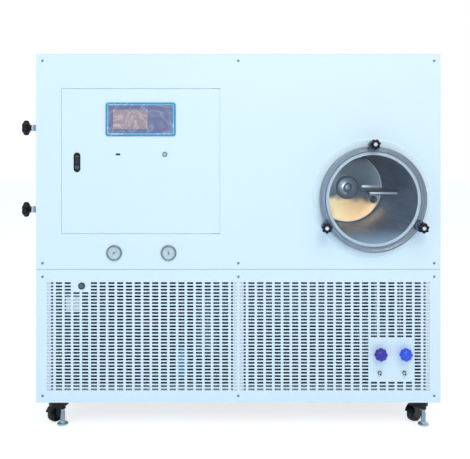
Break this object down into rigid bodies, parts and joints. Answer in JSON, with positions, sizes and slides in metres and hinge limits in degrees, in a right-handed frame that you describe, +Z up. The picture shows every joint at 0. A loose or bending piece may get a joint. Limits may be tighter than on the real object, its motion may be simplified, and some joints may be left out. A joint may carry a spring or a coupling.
{
  "type": "freeze dryer",
  "caption": "Floor-standing laboratory freeze dryer: a sheet-metal cabinet with a control door, a round horizontal vacuum chamber behind a clear clamped door, a slotted lower panel and valves.",
  "frame": {"origin": "on the floor, at the middle of the whole object's length and depth, side knobs, clamp knobs and rear port included", "axes": "+Z up; the front with the control door and chamber door faces -Y; +X to the right, seen from the front"},
  "size_m": [1.3712, 0.8612, 1.204],
  "materials": {
    "cabinet_paint": "smooth pale powder coat",
    "frame_paint": "satin powder coat",
    "zinc_sheet": "satin grey coat",
    "stainless": "brushed",
    "screw_steel": "blackened",
    "polished_steel": "polished",
    "cold_surface": "turned and polished",
    "copper": "drawn copper tube",
    "acrylic": "clear polished",
    "gauge_glass": "clear",
    "white_silicone": "soft matt",
    "black_plastic": "fine grain",
    "blue_plastic": "satin",
    "display_blue": "smooth film",
    "display_face": "satin film",
    "switch_grey": "satin",
    "gauge_rim": "polished",
    "needle_black": "matt",
    "foam": "open matt foam",
    "machine_black": "semi-gloss paint",
    "pump_paint": "painted casting",
    "fin_aluminium": "bare fins",
    "module_grey": "moulded",
    "wheel_rubber": "matt",
    "foot_steel": "plated"
  },
  "bodies": {
    "cabinet": {"frame_rails": "frame_paint", "frame_posts": "frame_paint", "base_plate": "zinc_sheet", "deck_plate": "zinc_sheet", "upper_front_panel": "cabinet_paint", "lower_front_panel": "cabinet_paint", "side_panel_left": "cabinet_paint", "side_panel_right": "cabinet_paint", "rear_panel": "cabinet_paint", "top_panel": "cabinet_paint", "cabinet_screws": "screw_steel", "door_hinges": "cabinet_paint", "control_enclosure": "zinc_sheet", "control_modules": "module_grey", "gauge_cases": "gauge_rim", "gauge_glasses": "gauge_glass", "main_switch_body": "black_plastic", "chamber_shell": "stainless", "chamber_insulation": "foam", "cold_plate": "cold_surface", "side_valves": "stainless", "drain_valves": "stainless", "compressor_unit": "machine_black", "condenser_coil": "fin_aluminium", "fan_shroud": "zinc_sheet", "vacuum_pump": "pump_paint", "refrigerant_circuit": "copper", "process_lines": "stainless", "power_inlet": "black_plastic", "caster_mounts": "foot_steel"},
    "control_door": {"control_door": "cabinet_paint", "display_bezel": "display_blue", "display_unit": "display_face", "usb_socket": "stainless", "start_button_bezel": "polished_steel", "latch_case": "black_plastic"},
    "start_button": {"start_button_cap": "switch_grey"},
    "latch": {"latch_barrel": "polished_steel"},
    "needle_left": {"gauge_needle_left": "needle_black"},
    "needle_right": {"gauge_needle_right": "needle_black"},
    "main_switch": {"main_switch_cap": "switch_grey"},
    "chamber_door": {"door_window": "acrylic", "door_gasket": "white_silicone", "window_fittings": "black_plastic"},
    "clamp_top": {"clamp_knob_top": "black_plastic"},
    "clamp_left": {"clamp_knob_left": "black_plastic"},
    "clamp_right": {"clamp_knob_right": "black_plastic"},
    "side_valve_upper": {"side_knob_upper": "black_plastic"},
    "side_valve_lower": {"side_knob_lower": "black_plastic"},
    "drain_left": {"drain_knob_left": "blue_plastic"},
    "drain_right": {"drain_knob_right": "blue_plastic"},
    "condenser_fan": {"fan": "black_plastic"},
    "caster_left": {"caster_fork_left": "black_plastic"},
    "caster_right": {"caster_fork_right": "black_plastic"},
    "wheel_front_left": {"caster_wheel_front_left": "wheel_rubber"},
    "wheel_front_right": {"caster_wheel_front_right": "wheel_rubber"},
    "wheel_rear_left": {"caster_wheel_rear_left": "wheel_rubber"},
    "wheel_rear_right": {"caster_wheel_rear_right": "wheel_rubber"},
    "foot_left": {"caster_foot_left": "foot_steel"},
    "foot_right": {"caster_foot_right": "foot_steel"}
  },
  "joints": [
    {"name": "control_door_hinge", "type": "hinge", "parent": "cabinet", "child": "control_door", "pos_m": [-0.0366, -0.35435, 0.85975], "axis": [0, 0, 1], "range_deg": [0, 110]},
    {"name": "start_button_press", "type": "slide", "parent": "control_door", "child": "start_button", "axis": [0, 1, 0], "range_m": [0, 0.0025], "stiffness_N_per_m": 400, "springref_m": -0.002},
    {"name": "latch_turn", "type": "hinge", "parent": "control_door", "child": "latch", "pos_m": [-0.4846, -0.35935, 0.84], "axis": [0, 1, 0], "range_deg": [0, 90]},
    {"name": "gauge_needle_left_turn", "type": "hinge", "parent": "cabinet", "child": "needle_left", "pos_m": [-0.3656, -0.35935, 0.565], "axis": [0, 1, 0], "range_deg": [0, 270]},
    {"name": "gauge_needle_right_turn", "type": "hinge", "parent": "cabinet", "child": "needle_right", "pos_m": [-0.1906, -0.35935, 0.565], "axis": [0, 1, 0], "range_deg": [0, 200]},
    {"name": "main_switch_press", "type": "slide", "parent": "cabinet", "child": "main_switch", "axis": [0, 1, 0], "range_m": [0, 0.003], "stiffness_N_per_m": 500, "springref_m": -0.002},
    {"name": "chamber_door_lift_off", "type": "slide", "parent": "cabinet", "child": "chamber_door", "axis": [0, -1, 0], "range_m": [0, 0.25]},
    {"name": "clamp_top_turn", "type": "hinge", "parent": "chamber_door", "child": "clamp_top", "pos_m": [0.4604, -0.41065, 0.914], "axis": [0, 1, 0], "continuous": true},
    {"name": "clamp_left_turn", "type": "hinge", "parent": "chamber_door", "child": "clamp_left", "pos_m": [0.30971, -0.41065, 0.653], "axis": [0, 1, 0], "continuous": true},
    {"name": "clamp_right_turn", "type": "hinge", "parent": "chamber_door", "child": "clamp_right", "pos_m": [0.61109, -0.41065, 0.653], "axis": [0, 1, 0], "continuous": true},
    {"name": "side_valve_upper_turn", "type": "hinge", "parent": "cabinet", "child": "side_valve_upper", "pos_m": [-0.6566, -0.27935, 0.968], "axis": [-1, 0, 0], "range_deg": [0, 90]},
    {"name": "side_valve_lower_turn", "type": "hinge", "parent": "cabinet", "child": "side_valve_lower", "pos_m": [-0.6566, -0.27935, 0.696], "axis": [-1, 0, 0], "range_deg": [0, 90]},
    {"name": "drain_valve_left_turn", "type": "hinge", "parent": "cabinet", "child": "drain_left", "pos_m": [0.4869, -0.37935, 0.245], "axis": [0, 1, 0], "range_deg": [-540, 0]},
    {"name": "drain_valve_right_turn", "type": "hinge", "parent": "cabinet", "child": "drain_right", "pos_m": [0.5664, -0.37935, 0.245], "axis": [0, 1, 0], "range_deg": [-540, 0]},
    {"name": "fan_spin", "type": "hinge", "parent": "cabinet", "child": "condenser_fan", "pos_m": [-0.3166, 0.29465, 0.259], "axis": [0, 1, 0], "continuous": true},
    {"name": "caster_left_swivel", "type": "hinge", "parent": "cabinet", "child": "caster_left", "pos_m": [-0.5566, -0.31335, 0.066], "axis": [0, 0, 1], "continuous": true},
    {"name": "caster_right_swivel", "type": "hinge", "parent": "cabinet", "child": "caster_right", "pos_m": [0.6234, -0.31335, 0.066], "axis": [0, 0, 1], "continuous": true},
    {"name": "wheel_front_left_spin", "type": "hinge", "parent": "caster_left", "child": "wheel_front_left", "pos_m": [-0.57116, -0.30277, 0.026], "axis": [0.809, -0.5878, 0], "continuous": true},
    {"name": "wheel_front_right_spin", "type": "hinge", "parent": "caster_right", "child": "wheel_front_right", "pos_m": [0.61183, -0.29956, 0.026], "axis": [0.6428, -0.766, 0], "continuous": true},
    {"name": "wheel_rear_left_spin", "type": "hinge", "parent": "cabinet", "child": "wheel_rear_left", "pos_m": [-0.5566, 0.34465, 0.025], "axis": [1, 0, 0], "continuous": true},
    {"name": "wheel_rear_right_spin", "type": "hinge", "parent": "cabinet", "child": "wheel_rear_right", "pos_m": [0.6234, 0.34465, 0.025], "axis": [1, 0, 0], "continuous": true},
    {"name": "foot_left_screw", "type": "slide", "parent": "caster_left", "child": "foot_left", "axis": [0, 0, 1], "range_m": [-0.006, 0.01]},
    {"name": "foot_right_screw", "type": "slide", "parent": "caster_right", "child": "foot_right", "axis": [0, 0, 1], "range_m": [-0.006, 0.01]}
  ]
}
